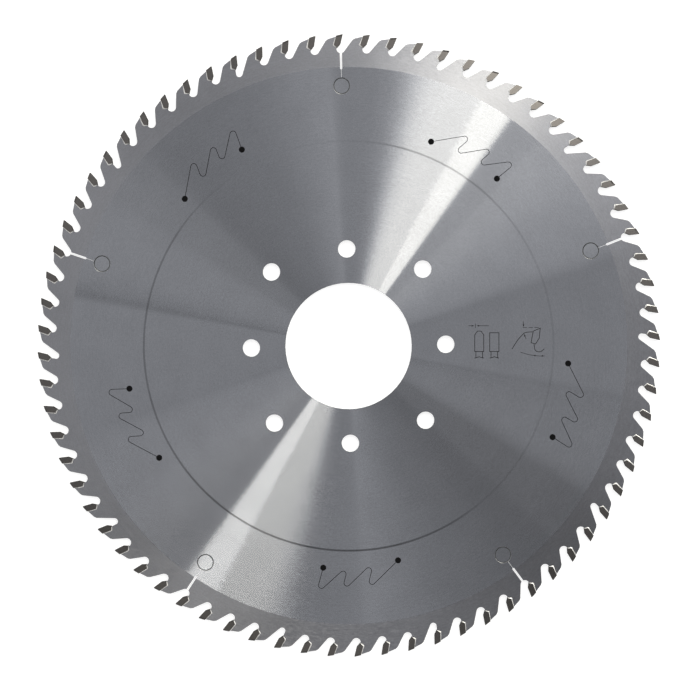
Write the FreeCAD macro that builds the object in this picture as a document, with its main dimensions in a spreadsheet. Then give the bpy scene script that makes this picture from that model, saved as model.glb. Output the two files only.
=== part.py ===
import FreeCAD, Part
import math
import os
import Sketcher

# Circular saw blade with brazed carbide tips, lying flat.
# The origin is the bore's centre at half the plate's thickness and +Z is the blade's axis.
# Tooth 0 has its cutting edge on +Y, and the teeth point and are counted clockwise seen from +Z.
# The gullet with a tooth's number lies in front of that tooth.

SIZES = [
    ("cutting_diameter", 320.0, "circle that the high tips turn in"),
    ("bore_diameter", 65.0, "hole for the spindle"),
    ("plate_thickness", 3.2, "steel plate"),
    ("kerf_width", 4.4, "width of the carbide tips, so of the cut"),
    ("tooth_count", 72, "teeth, high and low ones in turn"),
    ("tip_thickness", 3.05, "carbide, square to the rake face"),
    ("tip_length", 7.4, "carbide, along the rake face, from cutting edge to toe"),
    ("rake_length", 5.0, "flat rake face below the cutting edge"),
    ("toe_depth", 1.3, "how far the toe lies behind the rake face"),
    ("heel_angle", 27.5, "slope of the underside, from the toe up to the back"),
    ("hook_angle", 14.7, "lean of the rake face from the radius"),
    ("clearance_angle", 11.8, "fall of the tip's top behind the cutting edge"),
    ("low_tip_drop", 0.1, "how much lower the flat tips cut than the bevelled ones"),
    ("corner_bevel", 0.9, "bevel on both top corners of the high tips"),
    ("braze_gap", 0.1, "seam for the solder between tip and seat"),
    ("land_depth", 1.27, "steel behind the tip, below the cutting circle"),
    ("land_length", 4.97, "top of the tooth from the seat to the shoulder"),
    ("land_angle", 16.7, "fall of the land behind the tip"),
    ("shoulder_cut", 0.75, "corner taken off between the land and the tooth's back"),
    ("toe_overhang", 0.23, "how far the tip's toe stands out past the gullet's front wall"),
    ("gullet_radius", 2.25, "round bottom of a gullet"),
    ("gullet_depth", 9.7, "cutting circle to gullet bottom"),
    ("deep_gullet_radius", 1.7, "round bottom of the deeper gullets"),
    ("deep_gullet_depth", 11.2, "cutting circle to the bottom of the deeper gullets"),
    ("deep_gullet_step", 4, "teeth between an expansion slot and the deeper gullets beside it"),
    ("slot_count", 5, "expansion slots, shared out over the gullets"),
    ("slot_width", 1.15, "wide outer stretch of an expansion slot"),
    ("slot_length", 8.4, "wide stretch with its taper, from the gullet bottom inwards"),
    ("slot_taper", 0.45, "length over which the wide stretch narrows to the laser cut"),
    ("laser_width", 0.2, "narrow inner stretch of an expansion slot"),
    ("laser_length", 4.35, "narrow stretch, from the taper to the plug's hole"),
    ("plug_diameter", 8.0, "pressed plug at the inner end of an expansion slot"),
    ("plug_clearance", 0.05, "ring between plug and hole, on the radius"),
    ("pin_hole_diameter", 9.0, "holes for driving pins"),
    ("inner_pin_circle", 100.0, "circle of the first pin holes"),
    ("outer_pin_circle", 110.0, "circle of the other pin holes, midway between the first"),
    ("pin_count", 4, "pin holes on each circle"),
    ("overcut", 3.0, "how far the rim's cuts run out past the blank"),
]

START, END, CENTRE = range(1, 4)
ORIGIN = (-1, START)

Vector = FreeCAD.Vector
doc = FreeCAD.newDocument("saw_blade")


def make_sheet():
    """The driving sizes, one row each."""
    made = doc.addObject("Spreadsheet::Sheet", "sizes")
    for row, (name, number, note) in enumerate(SIZES, 1):
        made.set(f"A{row}", name)
        made.set(f"B{row}", str(number))
        made.set(f"C{row}", note)
        made.setAlias(f"B{row}", name)
    doc.recompute()
    return made


sheet = make_sheet()


def size(name):
    return float(sheet.get(name))


def follow(thing, target, formula):
    """Ties one property of an object to the sheet. Words in braces are names of sizes."""
    thing.setExpression(target, formula.replace("{", "sizes.").replace("}", ""))


# Formulas that several pieces share, on the tooth that has its cutting edge on +Y.
RADIUS = "{cutting_diameter} / 2"
PITCH = "360 / {tooth_count}"
SEAT_BACK = "({tip_thickness} + {braze_gap})"
TOE_LEFT = "({tip_length} * sin({hook_angle}) + {toe_depth} * cos({hook_angle}))"
TOE_UP = f"({RADIUS} - {{tip_length}} * cos({{hook_angle}}) + {{toe_depth}} * sin({{hook_angle}}))"
LAND_FRONT_LEFT = f"({SEAT_BACK} + {{land_depth}} * sin({{hook_angle}})) / cos({{hook_angle}})"
SHOULDER_LEFT = f"({LAND_FRONT_LEFT} + {{land_length}} * cos({{land_angle}}))"
SHOULDER_UP = f"({RADIUS} - {{land_depth}} - {{land_length}} * sin({{land_angle}}))"
NEXT_SHOULDER_RIGHT = f"{SHOULDER_UP} * sin({PITCH}) - {SHOULDER_LEFT} * cos({PITCH})"
NEXT_SHOULDER_UP = f"{SHOULDER_UP} * cos({PITCH}) + {SHOULDER_LEFT} * sin({PITCH})"
GULLET_LEFT = f"({TOE_LEFT} + {{toe_overhang}} - {{gullet_radius}})"
GULLET_CENTRE = f"({RADIUS} - {{gullet_depth}} + {{gullet_radius}})"
GULLET_LAG = f"asin({GULLET_LEFT} / {GULLET_CENTRE}) / 1 deg"
SLOT_END = f"({RADIUS} - {{gullet_depth}} - {{slot_length}})"
PLUG_HOLE = "({plug_diameter} / 2 + {plug_clearance})"
PLUG_RADIUS = f"({SLOT_END} - {{laser_length}} - {PLUG_HOLE})"


class Tooth:
    """Places on the tooth with its cutting edge on +Y and on the next one, where sketches start from."""

    def __init__(self):
        self.radius = size("cutting_diameter") / 2
        self.hook = math.radians(size("hook_angle"))
        self.heel = math.radians(size("heel_angle"))
        self.pitch = 2 * math.pi / size("tooth_count")
        self.back = size("tip_thickness") + size("braze_gap")
        self.toe = self.at(size("tip_length"), size("toe_depth"))
        self.wall = self.toe.x - size("toe_overhang")
        land = math.radians(size("land_angle"))
        depth = size("land_depth")
        land_left = (self.back + depth * math.sin(self.hook)) / math.cos(self.hook)
        land_front = Vector(-land_left, self.radius - depth, 0)
        along_land = Vector(math.cos(land), math.sin(land), 0)
        self.next_shoulder = self.to_next(land_front - along_land * size("land_length"))
        self.next_land = self.to_next(along_land)

    def at(self, down, behind):
        """Place at a distance down the rake face from the cutting edge, and behind the face."""
        sine, cosine = math.sin(self.hook), math.cos(self.hook)
        return Vector(-down * sine - behind * cosine, self.radius - down * cosine + behind * sine, 0)

    def to_next(self, place):
        """The same place on the next tooth."""
        sine, cosine = math.sin(self.pitch), math.cos(self.pitch)
        return Vector(place.x * cosine + place.y * sine, place.y * cosine - place.x * sine, 0)

    def gullet(self):
        """Centre of the gullet's round bottom, which touches the front wall."""
        left = self.wall + size("gullet_radius")
        reach = self.radius - size("gullet_depth") + size("gullet_radius")
        return Vector(left, math.sqrt(reach**2 - left**2), 0)

    def slot_end(self):
        """Where the wide stretch of an expansion slot ends, from the axis."""
        return self.radius - size("gullet_depth") - size("slot_length")

    def next_back(self):
        """Direction of the next tooth's back, from the gullet's round bottom up to the shoulder."""
        step = self.next_shoulder - self.gullet()
        angle = math.atan2(step.y, step.x) + math.asin(size("gullet_radius") / step.Length)
        return Vector(math.cos(angle), math.sin(angle), 0)

    def deep_gullet(self):
        """Centre of a deeper gullet's round bottom, which touches the line of the next tooth's back."""
        radius = size("deep_gullet_radius")
        along = self.next_back()
        off = Vector(-along.y, along.x, 0)
        reach = self.radius - size("deep_gullet_depth") + radius
        distance = self.next_shoulder.dot(off) + radius
        return off * distance + along * math.sqrt(reach**2 - distance**2)


tooth = Tooth()


def degrees_of(direction):
    return math.degrees(math.atan2(direction.y, direction.x))


def role(body, name):
    """A body's own origin plane or axis."""
    return [feature for feature in body.Origin.OriginFeatures if feature.Role == name][0]


class Outline:
    """A sketch on its body's middle plane, whose sizes follow the sheet."""

    def __init__(self, name, body, turn=None, left=None, up=None):
        self.sketch = body.newObject("Sketcher::SketchObject", name)
        self.sketch.AttachmentSupport = [(role(body, "XY_Plane"), "")]
        self.sketch.MapMode = "FlatFace"
        for target, formula in (("Rotation.Angle", turn), ("Base.x", left), ("Base.y", up)):
            if formula is not None:
                follow(self.sketch, f"AttachmentOffset.{target}", formula)

    def line(self, start, end, guide=False):
        return self.sketch.addGeometry(Part.LineSegment(start, end), guide)

    def arc(self, centre, radius, start, end, guide=False):
        """Counterclockwise arc between two angles in degrees."""
        circle = Part.Circle(centre, Vector(0, 0, 1), radius)
        bow = Part.ArcOfCircle(circle, math.radians(start), math.radians(end))
        return self.sketch.addGeometry(bow, guide)

    def circle(self, centre, radius):
        return self.sketch.addGeometry(Part.Circle(centre, Vector(0, 0, 1), radius), False)

    def point(self, place):
        return self.sketch.addGeometry(Part.Point(place), True)

    def rule(self, kind, *refs):
        return self.sketch.addConstraint(Sketcher.Constraint(kind, *refs))

    def join(self, *ends):
        """Joins pairs of ends, given one after the other."""
        for first, second in zip(ends[::2], ends[1::2]):
            self.rule("Coincident", *first, *second)

    def smooth(self, *ends):
        """Joins pairs of ends with no corner between them."""
        for first, second in zip(ends[::2], ends[1::2]):
            self.rule("Tangent", *first, *second)

    def span(self, kind, first, second, formula):
        """A distance between two places, across, up or straight."""
        start, end = (Vector() if ref == ORIGIN else self.sketch.getPoint(*ref) for ref in (first, second))
        step = end - start
        now = {"DistanceX": step.x, "DistanceY": step.y, "Distance": step.Length}[kind]
        self.bind(self.rule(kind, *first, *second, now), formula)

    def bind(self, index, formula):
        follow(self.sketch, f"Constraints[{index}]", formula)

    def place(self, ref, left=None, right=None, up=None, down=None):
        if left is not None:
            self.span("DistanceX", ref, ORIGIN, left)
        if right is not None:
            self.span("DistanceX", ORIGIN, ref, right)
        if up is not None:
            self.span("DistanceY", ORIGIN, ref, up)
        if down is not None:
            self.span("DistanceY", ref, ORIGIN, down)

    def lean(self, line, degrees, formula):
        """Angle of a line from +X, from its start to its end."""
        self.bind(self.rule("Angle", line, math.radians(degrees)), formula)

    def round(self, curve, radius, formula):
        self.bind(self.rule("Radius", curve, radius), formula)


def finish_feature(body, feature):
    body.Tip = feature
    doc.recompute()
    return feature


def pad(body, outline, thickness):
    """Thickens an outline to both sides of the middle plane."""
    feature = body.newObject("PartDesign::Pad", f"{outline.sketch.Label}_pad")
    feature.Profile = outline.sketch
    feature.SideType = "Symmetric"
    feature.Refine = False
    follow(feature, "Length", thickness)
    return finish_feature(body, feature)


def pocket(body, outline):
    """Cuts an outline through the whole plate."""
    before = body.Tip.Shape.Volume
    feature = body.newObject("PartDesign::Pocket", f"{outline.sketch.Label}_pocket")
    feature.Profile = outline.sketch
    feature.SideType = "Symmetric"
    feature.Refine = False
    follow(feature, "Length", "{plate_thickness} * 2")
    finish_feature(body, feature)
    if feature.Shape.Volume >= before:
        raise ValueError(f"{feature.Label} cuts nothing")
    return feature


def chamfer(body, wanted, setback):
    """Breaks the edges that the test picks from the body's tip."""
    base = body.Tip
    names = [f"Edge{number}" for number, edge in enumerate(base.Shape.Edges, 1) if wanted(edge)]
    feature = body.newObject("PartDesign::Chamfer", "chamfer")
    feature.Base = (base, names)
    follow(feature, "Size", setback)
    return finish_feature(body, feature)


def repeat_around(body, features, count, spacing=None):
    """Repeats features about the blade's axis, evenly all round or clockwise at a spacing."""
    before = body.Tip.Shape.Volume
    pattern = body.newObject("PartDesign::PolarPattern", "pattern")
    pattern.Axis = (role(body, "Z_Axis"), [""])
    pattern.Refine = False
    if spacing is None:
        pattern.Originals = features
        pattern.Angle = 360
        follow(pattern, "Occurrences", count)
    else:
        pattern.TransformMode = "Whole shape"
        pattern.Mode = "Spacing"
        pattern.Reversed = True
        pattern.Occurrences = count
        follow(pattern, "Offset", spacing)
    finish_feature(body, pattern)
    if abs(pattern.Shape.Volume - before) < 1e-6:
        raise ValueError(f"{pattern.Label} repeats nothing")
    return pattern


def draw_gullet(outline, guide=False):
    """A gullet's round bottom, the next tooth's back and the sharp corner that the shoulder is cut from."""
    radius, along = size("gullet_radius"), tooth.next_back()
    centre = tooth.gullet()
    touch = centre + Vector(along.y, -along.x, 0) * radius
    bottom = outline.arc(centre, radius, 180, 270 + degrees_of(along), guide)
    back = outline.line(touch, tooth.next_shoulder - along * size("shoulder_cut"), guide)
    corner = outline.point(tooth.next_shoulder)
    outline.round(bottom, radius, "{gullet_radius}")
    outline.place((bottom, CENTRE), left=GULLET_LEFT)
    outline.span("Distance", ORIGIN, (bottom, CENTRE), GULLET_CENTRE)
    outline.smooth((bottom, END), (back, START))
    outline.place((corner, START), right=NEXT_SHOULDER_RIGHT, up=NEXT_SHOULDER_UP)
    outline.rule("PointOnObject", corner, START, back)
    outline.span("Distance", (back, END), (corner, START), "{shoulder_cut}")
    return bottom, back, corner


def gullet_and_seat_outline(body):
    """What is cut away at one tooth: the tip's seat, the gullet and the room over the next tooth's land."""
    seam = size("braze_gap")
    centre = tooth.gullet()
    slope = tooth.hook + tooth.heel
    rise = (tooth.back - size("toe_depth")) * math.tan(tooth.heel) - seam / math.cos(tooth.heel)
    seat_corner = tooth.at(size("tip_length") - rise, tooth.back)
    seat_top = tooth.at(-size("overcut"), tooth.back)
    wall_top = Vector(tooth.wall, seat_corner.y - (tooth.wall - seat_corner.x) * math.tan(slope), 0)
    land_start = tooth.next_shoulder + tooth.next_land * size("shoulder_cut")
    land_end = tooth.next_shoulder + tooth.next_land * (size("land_length") + size("tip_thickness") / 2)

    outline = Outline("gullet_and_seat", body)
    bottom, back, corner = draw_gullet(outline)
    shoulder = outline.line(outline.sketch.getPoint(back, END), land_start)
    land = outline.line(land_start, land_end)
    right = outline.line(land_end, Vector(land_end.x, seat_top.y, 0))
    top = outline.line(Vector(land_end.x, seat_top.y, 0), seat_top)
    seat_back = outline.line(seat_top, seat_corner)
    seat_floor = outline.line(seat_corner, wall_top)
    wall = outline.line(wall_top, Vector(tooth.wall, centre.y, 0))
    sides = [back, shoulder, land, right, top, seat_back, seat_floor, wall]
    for side, following in zip(sides, sides[1:]):
        outline.join((side, END), (following, START))
    outline.smooth((wall, END), (bottom, START))
    crest = outline.point(Vector(0, tooth.radius, 0))
    toe = outline.point(tooth.toe)

    outline.rule("Vertical", wall)
    outline.rule("Vertical", right)
    outline.rule("Horizontal", top)
    outline.lean(land, degrees_of(tooth.next_land), f"{{land_angle}} - {PITCH}")
    outline.rule("PointOnObject", corner, START, land)
    outline.span("Distance", (corner, START), (land, START), "{shoulder_cut}")
    outline.span("Distance", (corner, START), (land, END), "{land_length} + {tip_thickness} / 2")
    outline.lean(seat_back, -90 - size("hook_angle"), "-90 - {hook_angle}")
    outline.lean(seat_floor, -math.degrees(slope), "-{hook_angle} - {heel_angle}")
    outline.rule("PointOnObject", crest, START, -2)
    outline.place((crest, START), up=RADIUS)
    outline.place((toe, START), left=TOE_LEFT, up=TOE_UP)
    outline.bind(outline.rule("Distance", crest, START, seat_back, tooth.back), SEAT_BACK)
    outline.bind(outline.rule("Distance", toe, START, seat_floor, seam), "{braze_gap}")
    outline.place((top, START), up=f"{RADIUS} + {{overcut}} * cos({{hook_angle}})")
    return outline


def deep_gullet_outline(body, number):
    """The extra depth of one gullet, between its front wall and the line of the next tooth's back."""
    radius, along = size("deep_gullet_radius"), tooth.next_back()
    level = tooth.gullet().y
    centre = tooth.deep_gullet()
    touch = centre + Vector(along.y, -along.x, 0) * radius
    back_top = touch + along * ((level - touch.y) / along.y)
    wall_end = Vector(tooth.wall, level, 0)
    step = wall_end - centre
    front = math.atan2(step.y, step.x) + math.acos(radius / step.Length)
    front_foot = centre + Vector(math.cos(front), math.sin(front), 0) * radius

    outline = Outline("deep_gullet", body, f"-{PITCH} * {number}")
    standard_bottom, standard_back, _ = draw_gullet(outline, guide=True)
    bottom = outline.arc(centre, radius, math.degrees(front), 270 + degrees_of(along))
    back = outline.line(touch, back_top)
    top = outline.line(back_top, wall_end)
    front_line = outline.line(wall_end, front_foot)
    outline.smooth((bottom, END), (back, START), (front_line, END), (bottom, START))
    outline.join((back, END), (top, START), (top, END), (front_line, START))
    outline.rule("Tangent", back, standard_back)
    outline.round(bottom, radius, "{deep_gullet_radius}")
    reach = f"{RADIUS} - {{deep_gullet_depth}} + {{deep_gullet_radius}}"
    outline.span("Distance", ORIGIN, (bottom, CENTRE), reach)
    outline.rule("Horizontal", top)
    outline.join((top, END), (standard_bottom, START))
    outline.rule("Horizontal", standard_bottom, START, standard_bottom, CENTRE)
    return outline


def expansion_slot_outline(body, number):
    """A slot from one gullet's bottom, wide and then narrow, down to the hole for its plug."""
    wide, narrow = size("slot_width") / 2, size("laser_width") / 2
    hole = size("plug_diameter") / 2 + size("plug_clearance")
    end = tooth.slot_end()
    plug = end - size("laser_length") - hole
    top = tooth.radius - size("gullet_depth") + size("gullet_radius")
    mouth = math.degrees(math.asin(narrow / hole))
    mouth_up = plug + math.sqrt(hole**2 - narrow**2)
    right = [(narrow, mouth_up), (narrow, end), (wide, end + size("slot_taper")), (wide, top)]
    left = [(-across, up) for across, up in reversed(right)]
    places = [Vector(across, up, 0) for across, up in right + left]

    outline = Outline("expansion_slot", body, f"{GULLET_LAG} - {PITCH} * {number}")
    ring = outline.arc(Vector(0, plug, 0), hole, 90 + mouth, 450 - mouth)
    sides = [outline.line(start, end) for start, end in zip(places, places[1:])]
    outline.join((ring, END), (sides[0], START), (sides[-1], END), (ring, START))
    for side, following in zip(sides, sides[1:]):
        outline.join((side, END), (following, START))
    outline.rule("PointOnObject", ring, CENTRE, -2)
    outline.place((ring, CENTRE), up=PLUG_RADIUS)
    outline.round(ring, hole, PLUG_HOLE)
    outline.rule("Symmetric", sides[1], START, sides[-2], END, -2)
    outline.rule("Symmetric", sides[2], START, sides[-3], END, -2)
    for straight in (sides[0], sides[2], sides[4], sides[6]):
        outline.rule("Vertical", straight)
    outline.rule("Horizontal", sides[3])
    outline.place((sides[1], START), right="{laser_width} / 2", up=SLOT_END)
    outline.place((sides[2], START), right="{slot_width} / 2", up=f"{SLOT_END} + {{slot_taper}}")
    outline.place((sides[3], START), up=GULLET_CENTRE)
    return outline


def disc_outline(body):
    """The blank with its bore."""
    outline = Outline("blank", body)
    for label, formula in (("cutting_diameter", RADIUS), ("bore_diameter", "{bore_diameter} / 2")):
        ring = outline.circle(Vector(0, 0, 0), size(label) / 2)
        outline.join((ring, CENTRE), ORIGIN)
        outline.round(ring, size(label) / 2, formula)
    return outline


def pin_hole_outline(body, name, circle, turn=None):
    """The first pin hole of one circle."""
    outline = Outline(name, body, turn)
    hole = outline.circle(Vector(0, size(circle) / 2, 0), size("pin_hole_diameter") / 2)
    outline.rule("PointOnObject", hole, CENTRE, -2)
    outline.place((hole, CENTRE), up=f"{{{circle}}} / 2")
    outline.round(hole, size("pin_hole_diameter") / 2, "{pin_hole_diameter} / 2")
    return outline


def make_plate(slot_gullets, deep_gullets):
    """The steel plate with its bore, pin holes, expansion slots and toothed rim."""
    body = doc.addObject("PartDesign::Body", "saw_plate")
    pad(body, disc_outline(body), "{plate_thickness}")
    half_step = "-180 / {pin_count}"
    for name, circle, turn in (
        ("inner_pin_hole", "inner_pin_circle", None),
        ("outer_pin_hole", "outer_pin_circle", half_step),
    ):
        hole = pocket(body, pin_hole_outline(body, name, circle, turn))
        repeat_around(body, [hole], "{pin_count}")
    for number in slot_gullets:
        pocket(body, expansion_slot_outline(body, number))
    for number in deep_gullets:
        pocket(body, deep_gullet_outline(body, number))
    cut = pocket(body, gullet_and_seat_outline(body))
    repeat_around(body, [cut], "{tooth_count}")
    return body


def make_plug(number, gullet_number):
    """Steel plug, flush with both faces of the plate."""
    body = doc.addObject("PartDesign::Body", f"expansion_plug_{number + 1}")
    outline = Outline(f"plug_{number + 1}", body, f"{GULLET_LAG} - {PITCH} * {gullet_number}")
    centre = Vector(0, tooth.slot_end() - size("laser_length"), 0)
    disc = outline.circle(centre, size("plug_diameter") / 2)
    outline.rule("PointOnObject", disc, CENTRE, -2)
    outline.place((disc, CENTRE), up=PLUG_RADIUS)
    outline.round(disc, size("plug_diameter") / 2, "{plug_diameter} / 2")
    pad(body, outline, "{plate_thickness}")
    return body


def tip_outline(body, name, tooth_number, drop):
    """Side view of a carbide tip, with the rake face on its right and the cutting edge on top."""
    turn = f"{PITCH} * {tooth_number}"
    lowering = 0 if drop is None else size(drop)
    thick, length = size("tip_thickness"), size("tip_length")
    toe = size("toe_depth")
    slope = tooth.hook + math.radians(size("clearance_angle"))
    corners = [
        Vector(0, -lowering, 0),
        Vector(0, -size("rake_length"), 0),
        Vector(-toe, -length, 0),
        Vector(-thick, -length + (thick - toe) * math.tan(tooth.heel), 0),
        Vector(-thick, -lowering - thick * math.tan(slope), 0),
    ]
    outline = Outline(
        name,
        body,
        f"-{{hook_angle}} - {turn}",
        left=f"{RADIUS} * sin({turn})",
        up=f"{RADIUS} * cos({turn})",
    )
    sides = [outline.line(start, end) for start, end in zip(corners, corners[1:] + corners[:1])]
    for side, following in zip(sides, sides[1:] + sides[:1]):
        outline.join((side, END), (following, START))
    face, chin, under, behind, top = sides
    outline.rule("Vertical", face)
    outline.rule("Vertical", behind)
    if drop is None:
        outline.join((face, START), ORIGIN)
    else:
        outline.rule("PointOnObject", face, START, -2)
        outline.place((face, START), down=f"{{{drop}}}")
    outline.place((face, END), down="{rake_length}")
    outline.place((chin, END), left="{toe_depth}", down="{tip_length}")
    outline.place((behind, START), left="{tip_thickness}")
    outline.lean(under, 180 - size("heel_angle"), "180 - {heel_angle}")
    outline.lean(top, math.degrees(slope), "{hook_angle} + {clearance_angle}")
    return outline


def make_tips(name, first_tooth, count, bevelled):
    """Every second tip of one rim segment: high ones with bevelled corners, or low flat ones."""
    body = doc.addObject("PartDesign::Body", name)
    body.AllowCompound = True
    drop = None if bevelled else "low_tip_drop"
    pad(body, tip_outline(body, f"{name}_side", first_tooth, drop), "{kerf_width}")
    if bevelled:
        half = size("kerf_width") / 2
        angle = math.radians(360 / size("tooth_count") * first_tooth)
        crest = Vector(math.sin(angle), math.cos(angle), 0) * tooth.radius

        def runs_back_from_cutting_edge(edge):
            ends = [vertex.Point for vertex in edge.Vertexes]
            level = abs(abs(ends[0].z) - half) < 1e-6 and abs(ends[0].z - ends[1].z) < 1e-6
            distances = sorted((end - crest - Vector(0, 0, end.z)).Length for end in ends)
            return level and distances[0] < 1e-4 and distances[1] < size("rake_length") - 1e-4

        chamfer(body, runs_back_from_cutting_edge, "{corner_bevel}")
    repeat_around(body, None, count, f"2 * {PITCH}")
    return body


def check_document():
    for thing in doc.Objects:
        if "Invalid" in thing.State or "Error" in thing.State:
            raise ValueError(f"{thing.Label} failed: {thing.State}")


def write_part(part):
    if part.Shape.isNull() or not part.Shape.isValid():
        raise ValueError(f"{part.Label} has no valid shape")
    part.Shape.exportStep(f"parts/{part.Label}.step")


def main():
    tooth_count = round(size("tooth_count"))
    slot_count = round(size("slot_count"))
    step = round(size("deep_gullet_step"))
    slot_gullets = [round(number * tooth_count / slot_count) for number in range(slot_count)]
    deep_gullets = []
    for number in slot_gullets:
        deep_gullets += [number - step, number + step]

    parts = [make_plate(slot_gullets, deep_gullets)]
    parts += [make_plug(number, gullet) for number, gullet in enumerate(slot_gullets)]
    ends = slot_gullets[1:] + [slot_gullets[0] + tooth_count]
    for segment, (before, last) in enumerate(zip(slot_gullets, ends), 1):
        for kind, bevelled in (("bevelled", True), ("flat", False)):
            numbers = [number for number in range(before + 1, last + 1) if (number % 2 == 0) == bevelled]
            parts.append(make_tips(f"{kind}_tips_segment_{segment}", numbers[0], len(numbers), bevelled))

    check_document()
    os.makedirs("parts", exist_ok=True)
    for part in parts:
        write_part(part)


main()
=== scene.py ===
import math
import random

import bpy
from mathutils import Matrix, Vector


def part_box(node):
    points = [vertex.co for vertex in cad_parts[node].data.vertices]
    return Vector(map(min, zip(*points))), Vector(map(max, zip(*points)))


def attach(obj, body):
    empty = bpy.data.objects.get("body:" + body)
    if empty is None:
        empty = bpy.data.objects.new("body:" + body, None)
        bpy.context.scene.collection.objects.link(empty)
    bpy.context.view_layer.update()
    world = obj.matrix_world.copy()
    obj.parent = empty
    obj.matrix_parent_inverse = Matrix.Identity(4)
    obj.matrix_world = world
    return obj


MM = 0.001
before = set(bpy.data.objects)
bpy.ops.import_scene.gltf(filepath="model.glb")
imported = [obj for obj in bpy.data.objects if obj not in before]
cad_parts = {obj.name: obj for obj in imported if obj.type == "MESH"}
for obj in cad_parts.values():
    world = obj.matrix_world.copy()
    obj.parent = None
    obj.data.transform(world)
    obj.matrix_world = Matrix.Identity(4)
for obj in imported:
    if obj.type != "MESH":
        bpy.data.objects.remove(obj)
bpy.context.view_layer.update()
rng = random.Random(7)


def reach(part, axis):
    """How far the nodes of a part reach along an axis of the frame, in millimetres."""
    highest = [getattr(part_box(name)[1], axis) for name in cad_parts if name.startswith(part)]
    return round(max(highest) / MM, 3)


# Sizes of the blade in millimetres. Azimuths run clockwise from +Y, seen from +Z.
RADIUS = reach("bevelled_tips", "y")
HALF_KERF = reach("bevelled_tips", "z")
HALF_PLATE = reach("saw_plate", "z")
TEETH = 72
PITCH = 360 / TEETH
# A tip from the side: its face leans by the hook, and behind its toe the underside rises by the heel.
HOOK = math.radians(14.7)
HEEL = math.radians(27.5)
TIP_THICKNESS = 3.05
TIP_LENGTH = 7.4
TOE_DEPTH = 1.3
# The gap behind a tip, how far below the cutting edge it starts, and the slope of the land there.
BRAZE_GAP = 0.1
BRAZE_TOP = 2.2
LAND_SLOPE = 0.5
# The gullets with an expansion slot, how many degrees a slot lags its tooth, and where its plug sits.
SLOTS = 5
SLOT_GULLETS = [round(TEETH * slot / SLOTS) for slot in range(SLOTS + 1)]
GULLET_LAG = 0.42
PLUG_RADIUS = 133.5
# How many degrees further clockwise a place lies in the blade's frame than in the photo.
PHOTO_TURN = 1.095
# The plate's faces: 1 is the upper one and -1 the lower one.
FACES = (1, -1)


def on_blade(x, y, azimuth):
    """A place given across (clockwise) and outward, in a frame turned clockwise by an azimuth."""
    turn = math.radians(azimuth)
    return x * math.cos(turn) + y * math.sin(turn), y * math.cos(turn) - x * math.sin(turn)


def from_photo(x, y):
    """A place in the photo's own upright frame, in the blade's frame."""
    return on_blade(x, y, PHOTO_TURN)


# node trees

# The range that most of a noise lies in.
NOISE_RANGE = (0.3, 0.7)


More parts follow.
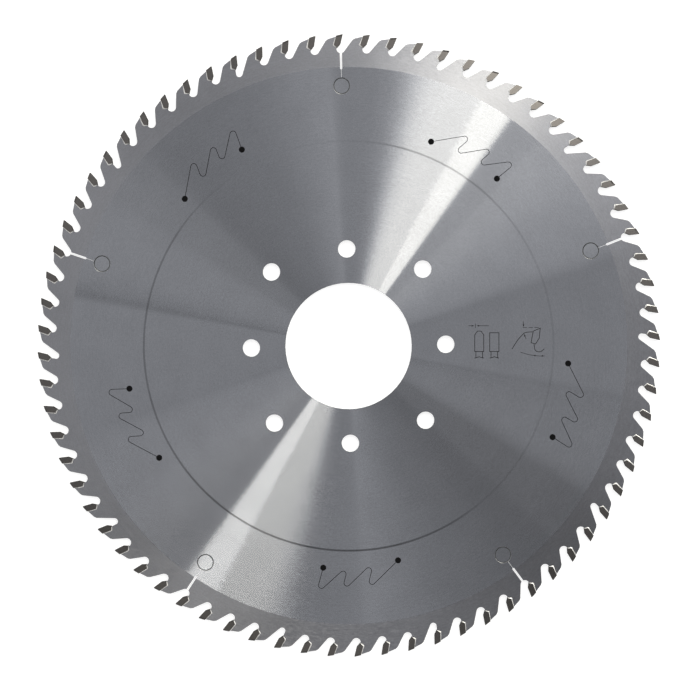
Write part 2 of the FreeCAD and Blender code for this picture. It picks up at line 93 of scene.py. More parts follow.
class Graph:
    """The node tree of a material or of the world, written as formulas."""

    def __init__(self, owner):
        owner.use_nodes = True
        self.owner = owner
        self.nodes = owner.node_tree.nodes
        self.links = owner.node_tree.links

    def feed(self, socket, source):
        """Links a socket to another one, or gives it a value."""
        if isinstance(source, bpy.types.NodeSocket):
            self.links.new(source, socket)
        else:
            socket.default_value = source

    def fill(self, node, **sources):
        """Feeds sockets of a node by their names."""
        for name, source in sources.items():
            self.feed(node.inputs[name.replace("_", " ")], source)

    def add(self, kind, *sources, **settings):
        """A new node with its settings, whose first sockets are fed in order."""
        node = self.nodes.new(kind)
        for name, setting in settings.items():
            setattr(node, name, setting)
        for socket, source in zip(node.inputs, sources):
            self.feed(socket, source)
        return node

    def math(self, operation, *sources):
        return self.add("ShaderNodeMath", *sources, operation=operation).outputs[0]

    def vector_math(self, operation, *sources):
        return self.add("ShaderNodeVectorMath", *sources, operation=operation).outputs[0]

    def mix(self, share, first, second):
        """Two colours mixed: the share is the second one's."""
        node = self.add("ShaderNodeMix", data_type="RGBA")
        self.fill(node, Factor=share, A=first, B=second)
        return node.outputs["Result"]

    def span(self, source, low, high, out_low, out_high, smooth=False):
        """Turns the range from low to high into the range from out_low to out_high."""
        kind = "SMOOTHSTEP" if smooth else "LINEAR"
        node = self.add("ShaderNodeMapRange", source, low, high, out_low, out_high, interpolation_type=kind)
        return node.outputs["Result"]

    def between(self, share, low, high):
        """The number at a share of the way from low to high."""
        return self.span(share, 0.0, 1.0, low, high)

    def vector(self, x, y, z):
        return self.add("ShaderNodeCombineXYZ", x, y, z).outputs[0]

    def parts(self, vector):
        """A vector's x, y and z."""
        return self.add("ShaderNodeSeparateXYZ", vector).outputs

    def scaled(self, vector, factor):
        """A vector or a colour times a factor."""
        node = self.add("ShaderNodeVectorMath", vector, operation="SCALE")
        self.fill(node, Scale=factor)
        return node.outputs[0]

    def moved(self, vector, direction, amount):
        """A vector moved along a direction by an amount."""
        return self.vector_math("ADD", vector, self.scaled(direction, amount))

    def noise(self, vector, scale, detail=2.0, roughness=0.5):
        node = self.add("ShaderNodeTexNoise")
        self.fill(node, Vector=vector, Scale=scale, Detail=detail, Roughness=roughness)
        return node.outputs["Fac"]

    def swing(self, noise, low, high):
        """A number that swings from low to high as a noise goes through its usual range."""
        return self.span(noise, *NOISE_RANGE, low, high)

    def place(self):
        """Object coordinates in millimetres."""
        return self.scaled(self.add("ShaderNodeTexCoord").outputs["Object"], 1 / MM)

    def turn(self, direction, start=0.0):
        """The share of a whole turn, clockwise from a start azimuth, at which a direction lies."""
        x, y, _ = self.parts(direction)
        angle = self.math("ARCTAN2", x, y)
        return self.math("FRACT", self.math("MULTIPLY_ADD", angle, 1 / (2 * math.pi), 1 - start / 360))

    def ramp(self, share, stops):
        """A number that follows stops of (share, number)."""
        node = self.add("ShaderNodeValToRGB", share)
        elements = node.color_ramp.elements
        elements.remove(elements[-1])
        for index, (position, level) in enumerate(stops):
            element = elements[0] if index == 0 else elements.new(position)
            element.position = position
            element.color = (level, level, level, 1)
        return node.outputs["Color"]

    def bump(self, height, strength, distance):
        node = self.add("ShaderNodeBump")
        self.fill(node, Height=height, Strength=strength, Distance=distance)
        return node.outputs[0]

    def glossy(self, colour, gloss, tangent, normal):
        """Brushed metal, smooth along the tangent, with a gloss of (roughness, anisotropy)."""
        roughness, anisotropy = gloss
        node = self.add("ShaderNodeBsdfAnisotropic")
        self.fill(node, Color=colour, Roughness=roughness, Anisotropy=anisotropy)
        self.fill(node, Tangent=tangent, Normal=normal)
        return node.outputs[0]

    def principled(self, **sources):
        """The material's own shader, with its sockets fed by their names."""
        node = self.nodes["Principled BSDF"]
        self.fill(node, **sources)
        return node.outputs[0]

    def blend(self, share, first, second):
        """Two shaders mixed: the share is the second one's."""
        return self.add("ShaderNodeMixShader", share, first, second).outputs[0]

    def surface(self, shader):
        """Makes a shader the material's surface, and gives the material."""
        self.fill(self.nodes["Material Output"], Surface=shader)
        return self.owner


def new_graph(name):
    """The node tree of a new material."""
    return Graph(bpy.data.materials.new(name))


# materials

# Radii between which the steel's fine finish turns into the rim's coarser one.
RIM_EDGE = (142.8, 143.4)
# How far the shading leans, as a slope: outward on the plate, outward on rim and tips, along the tips' marks.
PLATE_TILT = 0.01
RIM_TILT = 0.15
TIP_TILT = 0.03
# How far the grinding marks swerve from a circle, as a slope.
PLATE_SWERVE = 0.008
RIM_SWERVE = 0.12
# How much stronger the rim's shades are than the plate's.
RIM_COARSER = 1.2
# Gloss as (roughness, anisotropy).
PLATE_GLOSS = (0.135, 0.917)
RIM_GLOSS = (0.358, 0.57)
CARBIDE_GLOSS = (0.34, 0.48)
# Marks as patches per radian, patches per millimetre of radius, and a shift.
GRAIN = (60.0, 1.6, 0.0)
HAIRS = (9.0, 5.0, 40.0)
# Noise as patches per millimetre, detail and roughness.
CLOUD = (0.06, 3.0, 0.5)
STEEL_SPECKLE = (1.3, 2.0, 0.7)
CARBIDE_SPECKLE = (2.2, 4.0, 0.7)
RIPPLE = (1.6, 3.0, 0.5)
MOTTLE = (3.0, 3.0, 0.5)
# How much grain, hairs, cloud and speckle lighten or darken the steel.
GRAIN_SHADE = 0.045
HAIRS_SHADE = 0.03
CLOUD_SHADE = 0.03
SPECKLE_SHADE = 0.06
# A groove ring in the plate, drawn as painted shade: its radius, and how far its full shade and its soft edge
# reach from there.
GROOVE_RADIUS = 105.2
GROOVE_REACH = (0.2, 0.75)
# How dark the painted shade of the groove ring is, as (azimuth, share): it follows where the light falls.
GROOVE_SHADES = [
    (0, 0.06),
    (9, 0.1),
    (16, 0.42),
    (36, 0.33),
    (60, 0.13),
    (141, 0.1),
    (151, 0.45),
    (175, 0.62),
    (226, 0.54),
    (246, 0.4),
    (302, 0.34),
    (316, 0.1),
    (330, 0.0),
    (360, 0.06),
]
PLATE_COLOUR = (0.234, 0.242, 0.268, 1)
RIM_COLOUR = (0.214, 0.218, 0.239, 1)
PLUG_COLOUR = (0.248, 0.257, 0.283, 1)
# Carbide's colour in its gloss, and in the duller shader that takes a share of its surface.
CARBIDE_COLOUR = (0.104, 0.098, 0.096)
DULL_COLOUR = (0.05, 0.047, 0.046)
DULL_SHARE = 0.1
DULL_ROUGHNESS = (0.45, 0.6)
CARBIDE_SHADE = (0.88, 1.12)
# Roughness of bare metal from one ripple to the next.
BARE_ROUGHNESS = (0.25, 0.42)
# How much a plain material's colour and roughness vary, and how little it shines.
COLOUR_MOTTLE = 0.15
ROUGHNESS_MOTTLE = 0.06
PLAIN_SPECULAR = 0.04


def axis_distance(graph, place):
    """Distance from the axis."""
    x, y, _ = graph.parts(place)
    return graph.math("SQRT", graph.math("ADD", graph.math("MULTIPLY", x, x), graph.math("MULTIPLY", y, y)))


def outward_direction(graph, place):
    """Direction straight away from the axis."""
    return graph.vector_math("NORMALIZE", graph.vector_math("MULTIPLY", place, (1.0, 1.0, 0.0)))


def around(graph, outward):
    """Direction along the grinding marks, which circle the axis."""
    return graph.vector_math("CROSS_PRODUCT", (0.0, 0.0, 1.0), outward)


def ring_marks(graph, outward, radius, per_radian, per_mm, shift):
    """Noise that runs in arcs about the axis."""
    x, y, _ = graph.parts(outward)
    x, y = graph.math("MULTIPLY", x, per_radian), graph.math("MULTIPLY", y, per_radian)
    place = graph.vector(x, y, graph.math("MULTIPLY_ADD", radius, per_mm, shift))
    return graph.noise(place, scale=1.0)


def leaned(graph, *leans):
    """The surface's normal, leaned along directions, each given with an amount."""
    normal = graph.add("ShaderNodeNewGeometry").outputs["Normal"]
    for direction, amount in leans:
        normal = graph.moved(normal, direction, amount)
    return normal


def painted_groove_shade(graph, outward, radius):
    """How dark the painted shade of the groove ring makes a place, by its azimuth."""
    away = graph.math("ABSOLUTE", graph.math("SUBTRACT", radius, GROOVE_RADIUS))
    ring = graph.span(away, *GROOVE_REACH, 1.0, 0.0, smooth=True)
    stops = [(azimuth / 360, share) for azimuth, share in GROOVE_SHADES]
    return graph.math("MULTIPLY", ring, graph.ramp(graph.turn(outward), stops))


def ground_steel(name, base, rim):
    """Steel ground in circles about the axis, coarser towards the teeth."""
    graph = new_graph(name)
    place = graph.place()
    radius = axis_distance(graph, place)
    outward = outward_direction(graph, place)
    rimward = graph.span(radius, *RIM_EDGE, 0.0, 1.0, smooth=True)

    grain = ring_marks(graph, outward, radius, *GRAIN)
    hairs = ring_marks(graph, outward, radius, *HAIRS)
    cloud = graph.noise(place, *CLOUD)
    speckle = graph.noise(place, *STEEL_SPECKLE)
    shade = 0.0
    shades = (GRAIN_SHADE, HAIRS_SHADE, CLOUD_SHADE, SPECKLE_SHADE)
    for noise, strength in zip((grain, hairs, cloud, speckle), shades):
        shade = graph.math("MULTIPLY_ADD", graph.swing(noise, -1.0, 1.0), strength, shade)
    shade = graph.math("MULTIPLY", shade, graph.between(rimward, 1.0, RIM_COARSER))
    # The groove ring's shade is painted into the steel's colour, darker or lighter by azimuth as light falls
    # on it.
    factor = graph.math("SUBTRACT", graph.math("ADD", 1.0, shade), painted_groove_shade(graph, outward, radius))
    tinted = graph.scaled(graph.mix(rimward, base, rim), factor)

    swerve = graph.between(rimward, PLATE_SWERVE, RIM_SWERVE)
    swerve = graph.math("MULTIPLY", graph.swing(grain, -1.0, 1.0), swerve)
    marks = graph.moved(around(graph, outward), outward, swerve)
    normal = leaned(graph, (outward, graph.between(rimward, PLATE_TILT, RIM_TILT)))
    plate = graph.glossy(tinted, PLATE_GLOSS, marks, normal)
    edge = graph.glossy(tinted, RIM_GLOSS, marks, normal)
    return graph.surface(graph.blend(rimward, plate, edge))


def carbide(name):
    """Ground carbide: dark and slightly warm, and leaned outward as the steel's rim is."""
    graph = new_graph(name)
    place = graph.place()
    outward = outward_direction(graph, place)
    marks = around(graph, outward)
    speckle = graph.noise(place, *CARBIDE_SPECKLE)
    shade = graph.swing(speckle, *CARBIDE_SHADE)
    normal = leaned(graph, (outward, RIM_TILT), (marks, TIP_TILT))
    ground = graph.glossy(graph.scaled(CARBIDE_COLOUR, shade), CARBIDE_GLOSS, marks, normal)
    dull = graph.principled(
        Base_Color=graph.scaled(DULL_COLOUR, shade),
        Roughness=graph.swing(speckle, *DULL_ROUGHNESS),
        Normal=graph.bump(speckle, strength=0.15, distance=0.05 * MM),
    )
    return graph.surface(graph.blend(DULL_SHARE, ground, dull))


def bare_metal(name, dark, light, metallic):
    """Metal that was left as it froze or was pressed, with a rippled surface."""
    graph = new_graph(name)
    ripple = graph.noise(graph.place(), *RIPPLE)
    graph.principled(
        Base_Color=graph.mix(graph.swing(ripple, 0.0, 1.0), dark, light),
        Metallic=metallic,
        Roughness=graph.swing(ripple, *BARE_ROUGHNESS),
        Normal=graph.bump(ripple, strength=0.35, distance=0.1 * MM),
    )
    return graph.owner


def plain(name, colour, roughness):
    """A dull, slightly mottled material."""
    graph = new_graph(name)
    mottle = graph.noise(graph.place(), *MOTTLE)
    darker = (*(part * (1 - COLOUR_MOTTLE) for part in colour), 1)
    lighter = (*(part * (1 + COLOUR_MOTTLE) for part in colour), 1)
    graph.principled(
        Base_Color=graph.mix(graph.swing(mottle, 0.0, 1.0), darker, lighter),
        Roughness=graph.swing(mottle, roughness - ROUGHNESS_MOTTLE, roughness + ROUGHNESS_MOTTLE),
        Specular_IOR_Level=PLAIN_SPECULAR,
    )
    return graph.owner


STEEL = ground_steel("ground_steel", PLATE_COLOUR, RIM_COLOUR)
PLUG_STEEL = ground_steel("plug_steel", PLUG_COLOUR, PLUG_COLOUR)
CARBIDE = carbide("carbide")
BRAZE = bare_metal("braze", dark=(0.64, 0.635, 0.62, 1), light=(0.86, 0.85, 0.83, 1), metallic=0.65)
RESIN = plain("resin", (0.004, 0.004, 0.0045), roughness=0.6)
BURR = bare_metal("burr", dark=(0.17, 0.172, 0.18, 1), light=(0.24, 0.242, 0.25, 1), metallic=1.0)
# The dark line round each plug: the joint's groove, with its shade painted into this colour.
PLUG_GROOVE_SHADE = plain("seam", (0.034, 0.035, 0.037), roughness=0.6)
ENGRAVING = plain("engraving", (0.014, 0.014, 0.015), roughness=0.7)


def material_of(name):
    """The material of a node of the source."""
    if name == "saw_plate":
        return STEEL
    return PLUG_STEEL if name.startswith("expansion_plug") else CARBIDE


for name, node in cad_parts.items():
    node.data.materials.clear()
    node.data.materials.append(material_of(name))


# shapes

# Steps round a disc and round a corner, and the shortest step of a path that has a direction.
DISC_STEPS = 32
CORNER_STEPS = 7
SHORTEST_STEP = 1e-9


def corner_side(into, out):
    """Sideways vector at a path's place that keeps a strip's width, from the steps into and out of it."""
    normals = [Vector((-step.y, step.x)).normalized() for step in (into, out) if step.length > SHORTEST_STEP]
    total = sum(normals, Vector((0, 0)))
    return total / total.length_squared * len(normals)


class Surface:
    """Vertices and faces that are gathered for one piece, in millimetres."""

    def __init__(self):
        self.vertices = []
        self.faces = []

    def add(self, vertices, faces):
        base = len(self.vertices)
        self.vertices += vertices
        self.faces += [tuple(base + index for index in face) for face in faces]

    def sweep(self, rows, capped=True):
        """Skins rows of places, each row a closed cross-section."""
        count = len(rows[0])
        vertices = [place for row in rows for place in row]
        faces = []
        for low in range(0, (len(rows) - 1) * count, count):
            high = low + count
            for index in range(count):
                following = (index + 1) % count
                faces.append((low + index, low + following, high + following, high + index))
        if capped:
            faces.append(tuple(reversed(range(count))))
            faces.append(tuple(range((len(rows) - 1) * count, len(rows) * count)))
        self.add(vertices, faces)

    def ribbon(self, path, width, bottom, top, closed=False):
        """A flat strip along a path of places, between two heights."""
        points = [Vector(place) for place in path]
        earlier = [points[-1] if closed else points[0], *points[:-1]]
        later = [*points[1:], points[0] if closed else points[-1]]
        rows = []
        for before, point, after in zip(earlier, points, later):
            side = corner_side(point - before, after - point) * (width / 2)
            left, right = point + side, point - side
            rows.append([(*left, top), (*right, top), (*right, bottom), (*left, bottom)])
        if closed:
            rows.append(rows[0])
        self.sweep(rows, capped=not closed)

    def arrow_head(self, tip, back, width, bottom, top):
        """A flat triangle from its point back to its base."""
        tip, back = Vector(tip), Vector(back)
        backward = (back - tip).normalized()
        side = Vector((-backward.y, backward.x)) * (width / 2)
        corners = [tip, back + side, back - side]
        vertices = [(*corner, height) for height in (bottom, top) for corner in corners]
        self.add(vertices, [(0, 1, 2), (5, 4, 3), (3, 4, 1, 0), (4, 5, 2, 1), (5, 3, 0, 2)])

    def disc(self, centre, radius, bottom, top):
        """A flat round plate."""
        turns = [2 * math.pi * step / DISC_STEPS for step in range(DISC_STEPS)]
        ring = [(centre[0] + radius * math.cos(turn), centre[1] + radius * math.sin(turn)) for turn in turns]
        self.sweep([[(*place, height) for place in ring] for height in (bottom, top)])

    def piece(self, name, material, slot, smooth=False):
        """Makes a mesh of what was gathered, which rides on the blade."""
        mesh = bpy.data.meshes.new(name)
        mesh.from_pydata([(x * MM, y * MM, z * MM) for x, y, z in self.vertices], [], self.faces)
        mesh.validate()
        for polygon in mesh.polygons:
            polygon.use_smooth = smooth
        mesh.materials.append(material)
        piece = bpy.data.objects.new(name, mesh)
        bpy.context.collection.objects.link(piece)
        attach(piece, "root")


def rounded_path(corners, radius):
    """A path through corners, each inner corner rounded."""
    path = [corners[0]]
    for before, corner, after in zip(corners, corners[1:], corners[2:]):
        corner_at = Vector(corner)
        into = (Vector(before) - corner_at).normalized()
        out = (Vector(after) - corner_at).normalized()
        half = into.angle(out) / 2
        reach_back = radius / math.tan(half)
        middle = corner_at + (into + out).normalized() * (radius / math.sin(half))
        first, last = corner_at + into * reach_back - middle, corner_at + out * reach_back - middle
        sweep = first.angle_signed(last)
        for step in range(CORNER_STEPS + 1):
            turned = first.copy()
            turned.rotate(Matrix.Rotation(-sweep * step / CORNER_STEPS, 2))
            path.append(tuple(middle + turned))
    path.append(corners[-1])
    return path


def along(path, share):
    """The place at a share of a path's length."""
    points = [Vector(place) for place in path]
    lengths = [(second - first).length for first, second in zip(points, points[1:])]
    left = share * sum(lengths)
    for point, following, length in zip(points, points[1:], lengths):
        if left <= length:
            return point.lerp(following, left / length)
        left -= length
    return points[-1]


def layer(side, rise):
    """Bottom and top of a thin layer on one face of the plate."""
    return sorted((side * HALF_PLATE, side * (HALF_PLATE + rise)))


def facing_out(row, side):
    """A row in the order that makes its surface look outward on one face of the plate."""
    return row if side > 0 else row[::-1]


# resin in the damping slots

# A damping slot: a zigzag with round turns and a dot at both ends, as places across and outward.
WAVE = [
    (-22.55, 110.8),
    (-6.0, 126.2),
    (-10.2, 110.85),
    (7.0, 126.8),
    (3.0, 112.6),
    (20.2, 127.4),
    (16.04, 113.62),
]
WAVE_BEND = 1.57
WAVE_WIDTH = 0.3
WAVE_RISE = 0.012
DOT_RADIUS = 1.56
DOT_RISE = 0.018


def damping_resin():
    """A resin line midway between each two expansion slots, on both faces."""
    resin = Surface()
    for before, after in zip(SLOT_GULLETS, SLOT_GULLETS[1:]):
        azimuth = PITCH * (before + after) / 2 - GULLET_LAG
        path = [on_blade(x, y, azimuth) for x, y in rounded_path(WAVE, WAVE_BEND)]
        for side in FACES:
            resin.ribbon(path, WAVE_WIDTH, *layer(side, WAVE_RISE))
            for end in (path[0], path[-1]):
                resin.disc(end, DOT_RADIUS, *layer(side, DOT_RISE))
    resin.piece("damping_resin", RESIN, "resin")


# solder at the tips

SEAM_STEPS = 8
FILLET_STEPS = 26
# A fillet's greatest width, which varies from tip to tip, and its greatest height.
FILLET_WIDTHS = (0.42, 0.6)
FILLET_RISE = 0.42
# How unevenly it froze: the ripple's strength, its radians along width and height, and its phases.
UNEVEN = 0.12
WIDTH_RIPPLE = 7
RISE_RIPPLE = 9
PHASES = (0, 6.28)
# The share of its width at its start and how fast it grows, and where and how fast it narrows.
WIDTH_START = 0.45
WIDTH_GROWS = 2.2
WIDTH_NARROWS_FROM = 0.7
WIDTH_NARROWS = 2.2
# The share of its height at its start, and how fast it grows.
RISE_START = 0.35
RISE_GROWS = 1.6
# Its hollow slope, as (share of its width, share of its height), and the height of its outer edge.
FILLET_SLOPE = ((0.0, 1.0), (0.16, 0.62), (0.38, 0.32), (0.68, 0.12))
EDGE_RISE = 0.004
# How deep it reaches into the tip and the plate.
INTO_TIP = 0.02
INTO_PLATE = 0.05


def tip_place(down, behind, tooth):
    """A place on a tip: a distance down the rake from the cutting edge, and behind the face."""
    x = -down * math.sin(HOOK) - behind * math.cos(HOOK)
    y = RADIUS - down * math.cos(HOOK) + behind * math.sin(HOOK)
    return on_blade(x, y, PITCH * tooth)


def braze_path(offset):
    """Places along the tip's back and underside, at a distance off the tip, as (down, behind)."""
    rise = (TIP_THICKNESS - TOE_DEPTH) * math.tan(HEEL)
    corner = offset * math.tan((math.pi / 2 - HEEL) / 2)
    top = (BRAZE_TOP + LAND_SLOPE * offset, TIP_THICKNESS + offset)
    heel = (TIP_LENGTH - rise + corner, TIP_THICKNESS + offset)
    toe = (TIP_LENGTH + offset / math.cos(HEEL), TOE_DEPTH)
    return top, heel, toe


def wavering(radians):
    """A factor near 1 that follows a sine."""
    return 1 + UNEVEN * math.sin(radians)


def fillet_width(share, generous, phase):
    """A fillet's width at a share of its length."""
    grown = WIDTH_START + (1 - WIDTH_START) * min(1.0, share * WIDTH_GROWS)
    narrowed = 1.0 - WIDTH_NARROWS * max(0.0, share - WIDTH_NARROWS_FROM)
    return generous * grown * wavering(phase + WIDTH_RIPPLE * share) * narrowed


def fillet_rise(share, phase):
    """A fillet's height at a share of its length."""
    grown = min(1.0, RISE_START + RISE_GROWS * share)
    return FILLET_RISE * grown * wavering(phase * 2 + RISE_RIPPLE * share)


def fillet_section(rise):
    """A fillet's section, as (share of its width, height above the plate)."""
    slope = [(off, rise * up) for off, up in FILLET_SLOPE]
    return [(0.0, -INTO_PLATE), *slope, (1.0, EDGE_RISE), (1.0, -INTO_PLATE)]


def fillet_row(share, tooth, side, generous, phase):
    """Places round a fillet at a share of its length."""
    near = along(braze_path(-INTO_TIP), share)
    far = along(braze_path(fillet_width(share, generous, phase)), share)
    row = []
    for off, up in fillet_section(fillet_rise(share, phase)):
        row.append((*tip_place(*near.lerp(far, off), tooth), side * (HALF_PLATE + up)))
    return facing_out(row, side)


def braze_fillets():
    """Solder that wells out along each tip's back and underside, on both faces."""
    fillets = Surface()
    for tooth in range(TEETH):
        for side in FACES:
            phase = rng.uniform(*PHASES)
            generous = rng.uniform(*FILLET_WIDTHS)
            shares = [step / FILLET_STEPS for step in range(FILLET_STEPS + 1)]
            fillets.sweep([fillet_row(share, tooth, side, generous, phase) for share in shares])
    fillets.piece("braze_fillets", BRAZE, "braze", smooth=True)


def braze_seams():
    """Solder between each tip and its seat."""
    seams = Surface()
    for tooth in range(TEETH):
        rows = []
        for share in [step / SEAM_STEPS for step in range(SEAM_STEPS + 1)]:
            tip = tip_place(*along(braze_path(0.0), share), tooth)
            seat = tip_place(*along(braze_path(BRAZE_GAP), share), tooth)
            rows.append([(*tip, HALF_PLATE), (*seat, HALF_PLATE), (*seat, -HALF_PLATE), (*tip, -HALF_PLATE)])
        seams.sweep(rows)
    seams.piece("braze_seams", BRAZE, "braze")


# worked edge of the plugs

# A fine dark line round each plug, the groove at its joint with the groove's shade painted on, and a raised
# burr outside it: radii, and heights above the plate.
LINE_INSIDE = 3.8
LINE_OUTSIDE = 4.12
LINE_RISE = 0.01
BURR_CREST = 4.32
BURR_OUTSIDE = 4.35
BURR_RISE = 0.07
RING_STEPS = 96
LINE_SECTION = ((LINE_INSIDE, 0.0), (LINE_INSIDE, LINE_RISE), (LINE_OUTSIDE, LINE_RISE), (LINE_OUTSIDE, 0.0))
BURR_SECTION = ((LINE_OUTSIDE, 0.0), (BURR_CREST, BURR_RISE), (BURR_OUTSIDE, 0.0))


def ring_row(centre, section, turn, side):
    """A section of (radius, height) places at a share of a turn about a centre, on one face of the plate."""
    x, y = math.cos(2 * math.pi * turn), math.sin(2 * math.pi * turn)
    row = []
    for radius, up in section:
        row.append((centre[0] + radius * x, centre[1] + radius * y, side * (HALF_PLATE + up)))
    return facing_out(row, side)


def plug_rings(section):
    """Rings of one section round all plugs, on both faces."""
    rings = Surface()
    turns = [step / RING_STEPS for step in range(RING_STEPS + 1)]
    for gullet in SLOT_GULLETS[:-1]:
        centre = on_blade(0, PLUG_RADIUS, PITCH * gullet - GULLET_LAG)
        for side in FACES:
            rings.sweep([ring_row(centre, section, turn, side) for turn in turns], capped=False)
    return rings


def plug_edges():
    """The burr that the pressing left round each plug, and the dark line inside it: the groove at the joint,
    drawn as painted shade.
    """
    # The line is the painted shade of the groove at each plug's joint.
    plug_rings(LINE_SECTION).piece("plug_edge_lines", PLUG_GROOVE_SHADE, "engraving")
    plug_rings(BURR_SECTION).piece("plug_edge_burrs", BURR, "plug_steel")


# pictogram beside the bore

# Places are in the photo's frame. Fronts of both teeth stand on steel with a broken lower end.
FRONT_FOOT = -2.74
HIGH_TOOTH = [(64.8, FRONT_FOOT), (64.8, 5.85), (66.2, 7.75), (68.0, 7.75), (69.4, 5.85), (69.4, FRONT_FOOT)]
LOW_TOOTH = [(72.5, FRONT_FOOT), (72.5, 6.9), (77.2, 6.9), (77.2, FRONT_FOOT)]
STUB_CENTRES = (67.1, 74.85)
STUB_HALF = 1.7
STUB_BOTTOM = -6.0
STUB_LIP = 0.7
# Heights of the broken end's five places above the bottom.
STUB_BREAK = (-0.1, 0.0, 0.6, 0.0, 0.0)
# Side view of a tip with the steel behind and below it, and the arc of an angle.
SIDE_TIP = [(94.8, 7.75), (98.4, 9.25), (97.9, 4.2), (96.0, 1.1), (93.7, 1.85)]
TOOTH_BACK = rounded_path([(94.4, 7.4), (90.4, 7.1), (86.8, 3.2), (83.9, -1.5)], radius=3.2)
GULLET = rounded_path([(95.2, 1.0), (95.8, -2.8), (98.6, -2.9), (100.5, -1.4)], radius=1.9)
ANGLE_ARC = rounded_path([(88.2, -3.0), (94.3, -5.2), (100.8, -5.0)], radius=30.0)
# Fine lines: the width above the tooth fronts, dashes above the side view, two arrow stems and the arc.
WIDTH_LEVEL = 10.5
DASH_LEVEL = 9.6
DASH_LENGTH = 2.2
FINE_LINES = [
    [(61.6, WIDTH_LEVEL), (64.0, WIDTH_LEVEL)],
    [(66.2, WIDTH_LEVEL), (72.1, WIDTH_LEVEL)],
    [(65.1, 9.3), (65.1, 11.6)],
    *([(left, DASH_LEVEL), (left + DASH_LENGTH, DASH_LEVEL)] for left in (89.4, 92.4, 95.4)),
    [(89.75, 12.8), (89.75, 10.4)],
    [(91.2, 3.6), (90.3, 5.8)],
    ANGLE_ARC,
]
# Arrow heads as (point, middle of the base).
ARROWS = [
    ((64.6, WIDTH_LEVEL), (63.2, WIDTH_LEVEL)),
    ((65.7, WIDTH_LEVEL), (67.1, WIDTH_LEVEL)),
    ((89.75, 9.8), (89.75, 11.2)),
    ((90.0, 6.4), (90.6, 5.1)),
    ((94.6, -4.75), (96.0, -4.85)),
    ((100.6, -5.0), (99.2, -5.0)),
]
OUTLINE_WIDTH = 0.34
FINE_WIDTH = 0.25
ARROW_WIDTH = 0.85
MARK_RISE = 0.01
ARROW_RISE = 0.012


def stub(centre):
    """Lines of the steel below a tooth's front view."""
    left, right = centre - STUB_HALF, centre + STUB_HALF
    across = (left - STUB_LIP, left, centre, right, right + STUB_LIP)
    sides = [[(x, FRONT_FOOT), (x, STUB_BOTTOM)] for x in (left, right)]
    return [*sides, [(x, STUB_BOTTOM + up) for x, up in zip(across, STUB_BREAK)]]


def tooth_pictogram():
    """Fronts of a high and a flat tooth, and a side view, all without words or figures."""
    pictogram = Surface()

    def draw(line, width, closed=False):
        places = [from_photo(*place) for place in line]
        pictogram.ribbon(places, width, *layer(1, MARK_RISE), closed)

    for line in (HIGH_TOOTH, LOW_TOOTH, SIDE_TIP):
        draw(line, OUTLINE_WIDTH, closed=True)
    for line in (TOOTH_BACK, GULLET, *stub(STUB_CENTRES[0]), *stub(STUB_CENTRES[1])):
        draw(line, OUTLINE_WIDTH)
    for line in FINE_LINES:
        draw(line, FINE_WIDTH)
    for tip, back in ARROWS:
        pictogram.arrow_head(from_photo(*tip), from_photo(*back), ARROW_WIDTH, *layer(1, ARROW_RISE))
    pictogram.piece("tooth_pictogram", ENGRAVING, "engraving")


damping_resin()
braze_fillets()
braze_seams()
plug_edges()
tooth_pictogram()


# stage and light

# The floor: its half side in metres, how far it lies below the tips in millimetres, and its own glow.
FLOOR_HALF = 3.0
FLOOR_GAP = 0.02
FLOOR_COLOUR = (0.4, 0.4, 0.4, 1)
FLOOR_ROUGHNESS = 0.9
FLOOR_GLOW = 0.82
# Light by azimuth in the photo's frame, as (azimuth, level). A level of 1 shows a colour as written.
PANELS = [
    (0, 1.05),
    (5, 1.25),
    (8.5, 1.75),
    (10.5, 2.5),
    (12.5, 3.5),
    (15.5, 5.4),
    (17.5, 6.15),
    (21, 6.6),
    (28.4, 6.7),
    (28.8, 7.9),
    (35.8, 7.9),
    (36.2, 2.5),
    (43.5, 2.45),
    (44.5, 2.75),
    (50, 2.55),
    (60, 1.85),
    (72.4, 1.25),
    (73, 0.78),
    (95, 0.72),
    (103.2, 0.66),
    (103.5, 0.9),
    (104.5, 0.9),
    (104.8, 0.62),
    (110, 0.52),
    (123.4, 0.45),
    (124, 0.0),
    (136, 0.03),
    (178, 0.74),
    (189, 0.4),
    (192, 0.1),
    (207.6, 0.1),
    (208.0, 1.3),
    (214.3, 1.3),
    (214.7, 0.0),
    (223, 0.0),
    (231, 0.35),
    (251, 0.85),
    (278.2, 1.0),
    (278.5, 0.0),
    (279.7, 0.0),
    (280.0, 1.15),
    (300, 1.3),
    (310.8, 1.15),
    (311.4, 0.85),
    (335, 0.85),
    (355.2, 1.4),
    (355.8, 1.0),
    (360, 1.05),
]
# A colour ramp holds 32 stops at most, so the panels are shared by a few ramps.
RAMPS = 4
# Panel levels are stored as shares of this one, and the tint grows with the same share.
BRIGHTEST = 12.0
BRIGHT_TINT = (1.06, 1.0, 0.8, 1)
# How much brighter the panels are towards +Y than at the sides, and darker towards -Y.
PANEL_LEAN = 0.2
# The level below the panels and the one straight overhead. Between the two upward parts of a direction
# that stand after it, each turns into the panels' level.
HORIZON_LEVEL = 1.1
HORIZON_EDGE = (0.25, 0.5)
OVERHEAD_LEVEL = 0.6
OVERHEAD_EDGE = (0.998, 0.987)


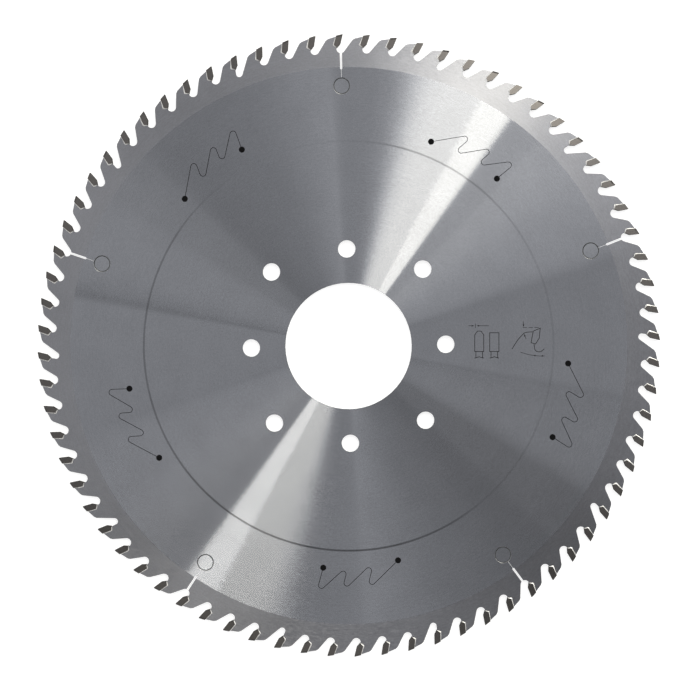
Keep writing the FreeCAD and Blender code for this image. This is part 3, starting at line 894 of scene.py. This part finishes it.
def stage_floor():
    """A grey floor that takes the blade's shadow and glows white for the camera alone."""
    height = -(HALF_KERF + FLOOR_GAP) * MM
    corners = [(-1, -1), (1, -1), (1, 1), (-1, 1)]
    mesh = bpy.data.meshes.new("floor")
    mesh.from_pydata([(x * FLOOR_HALF, y * FLOOR_HALF, height) for x, y in corners], [], [(0, 1, 2, 3)])
    floor = bpy.data.objects.new("floor", mesh)
    bpy.context.collection.objects.link(floor)
    graph = new_graph("floor")
    grey = graph.principled(Base_Color=FLOOR_COLOUR, Roughness=FLOOR_ROUGHNESS, Specular_IOR_Level=0.0)
    seen = graph.add("ShaderNodeLightPath").outputs["Is Camera Ray"]
    glow = graph.add("ShaderNodeEmission")
    graph.fill(glow, Strength=graph.math("MULTIPLY", seen, FLOOR_GLOW))
    both = graph.add("ShaderNodeAddShader", grey, glow.outputs[0])
    mesh.materials.append(graph.surface(both.outputs[0]))


def level_at(angle):
    """The panels' level at an azimuth, between the two stops that hold it."""
    for (first, low), (second, high) in zip(PANELS, PANELS[1:]):
        if first <= angle <= second:
            return low + (high - low) * (angle - first) / (second - first)


def ramp_stops(index):
    """The stops of one of the ramps that share the panels, as (share, share of the brightest)."""
    first, width = 360 * index / RAMPS, 360 / RAMPS
    last = first + width
    inner = [stop for stop in PANELS if first < stop[0] < last]
    stops = [(first, level_at(first)), *inner, (last, level_at(last))]
    return [((angle - first) / width, level / BRIGHTEST) for angle, level in stops]


def panel_light(graph, direction):
    """The panels' level in a direction."""
    place = graph.math("MULTIPLY", graph.turn(direction, PHOTO_TURN), RAMPS)
    level = 0.0
    for index in range(RAMPS):
        ramp = graph.ramp(graph.math("SUBTRACT", place, index), ramp_stops(index))
        inside = graph.math("COMPARE", graph.math("FLOOR", place), index, 0.5)
        level = graph.math("MULTIPLY_ADD", ramp, inside, level)
    return graph.math("MULTIPLY", level, BRIGHTEST)


def make_world():
    """Light from all round, which the camera itself sees as plain white."""
    world = bpy.data.worlds.new("studio")
    bpy.context.scene.world = world
    graph = Graph(world)
    direction = graph.add("ShaderNodeTexCoord").outputs["Generated"]
    _, y, up = graph.parts(direction)
    cubed = graph.math("MULTIPLY", y, graph.math("MULTIPLY", y, y))
    lean = graph.math("MULTIPLY_ADD", cubed, PANEL_LEAN, 1.0)
    panels = graph.math("MULTIPLY", panel_light(graph, direction), lean)

    above_horizon = graph.span(up, *HORIZON_EDGE, 0.0, 1.0, smooth=True)
    past_horizon = graph.math("SUBTRACT", panels, HORIZON_LEVEL)
    sides = graph.math("MULTIPLY_ADD", past_horizon, above_horizon, HORIZON_LEVEL)
    off_overhead = graph.span(up, *OVERHEAD_EDGE, 0.0, 1.0, smooth=True)
    overhead = graph.math("MULTIPLY", graph.math("SUBTRACT", 1.0, off_overhead), OVERHEAD_LEVEL)
    light = graph.math("MULTIPLY_ADD", sides, off_overhead, overhead)

    seen = graph.add("ShaderNodeLightPath").outputs["Is Camera Ray"]
    unseen = graph.math("MULTIPLY", light, graph.math("SUBTRACT", 1.0, seen))
    tint = graph.mix(graph.math("MULTIPLY", unseen, 1 / BRIGHTEST), (1.0, 1.0, 1.0, 1), BRIGHT_TINT)
    graph.fill(graph.nodes["Background"], Strength=graph.math("ADD", unseen, seen), Color=tint)


stage_floor()
make_world()


# camera

# Places are in the photo's frame, in millimetres. The clip start is in metres.
CAMERA_PLACE = (8.72, 20.3, 1201.6)
CAMERA_TARGET = (0.75, -1.96, HALF_PLATE)
LENS = 120.18
SENSOR = 36
CLIP_START = 0.01


def photo_vector(x, y, z):
    """A place given in millimetres in the photo's frame, in metres in the blade's frame."""
    return Vector((*from_photo(x, y), z)) * MM


def aim(camera, target, up):
    """Turns a camera so that it looks at a place."""
    forward = (target - camera.location).normalized()
    right = forward.cross(up).normalized()
    true_up = right.cross(forward)
    camera.rotation_euler = Matrix((right, true_up, -forward)).transposed().to_euler()


def make_camera():
    """A camera that sees the lying blade as the photo does."""
    data = bpy.data.cameras.new("camera")
    data.sensor_width = SENSOR
    data.lens = LENS
    data.clip_start = CLIP_START
    camera = bpy.data.objects.new("camera", data)
    bpy.context.collection.objects.link(camera)
    camera.location = photo_vector(*CAMERA_PLACE)
    aim(camera, photo_vector(*CAMERA_TARGET), Vector((*from_photo(0, 1), 0)))
    bpy.context.scene.camera = camera
    bpy.context.scene.view_settings.view_transform = "Standard"


make_camera()
